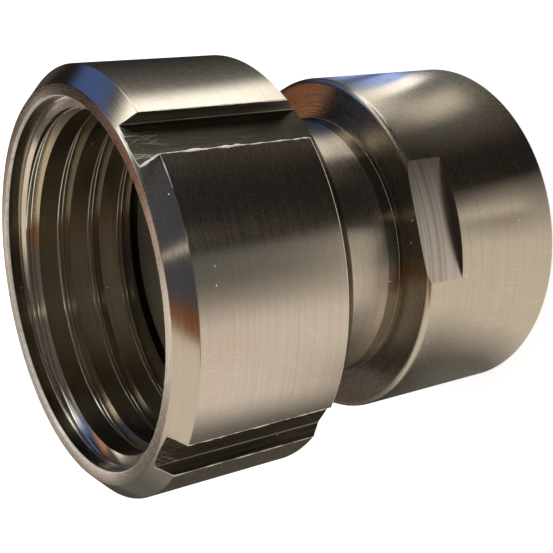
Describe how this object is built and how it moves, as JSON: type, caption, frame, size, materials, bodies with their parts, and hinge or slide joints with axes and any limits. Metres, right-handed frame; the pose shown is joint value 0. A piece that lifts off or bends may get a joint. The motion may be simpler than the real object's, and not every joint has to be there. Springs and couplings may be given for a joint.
{
  "type": "threaded adapter with union nut",
  "caption": "Turned steel adapter: a slotted union nut with a coarse internal thread turns on a flanged neck that ends in a pipe-threaded sleeve.",
  "frame": {"origin": "centre of the sleeve's rear end, which the adapter stands on", "axes": "+Z along the common axis towards the mouth of the nut; a spanner flat of the sleeve faces 6 degrees from +X towards +Y"},
  "size_m": [0.07, 0.07, 0.0765],
  "materials": {
    "turned_steel": "satin, turned",
    "gasket_rubber": "matt"
  },
  "bodies": {
    "fitting": {"sleeve": "turned_steel", "liner": "turned_steel", "gasket": "gasket_rubber"},
    "nut": {"union_nut": "turned_steel"}
  },
  "joints": [
    {"name": "nut_swivel", "type": "hinge", "parent": "fitting", "child": "nut", "pos_m": [0, 0, 0.0461], "axis": [0, 0, 1], "continuous": true}
  ]
}
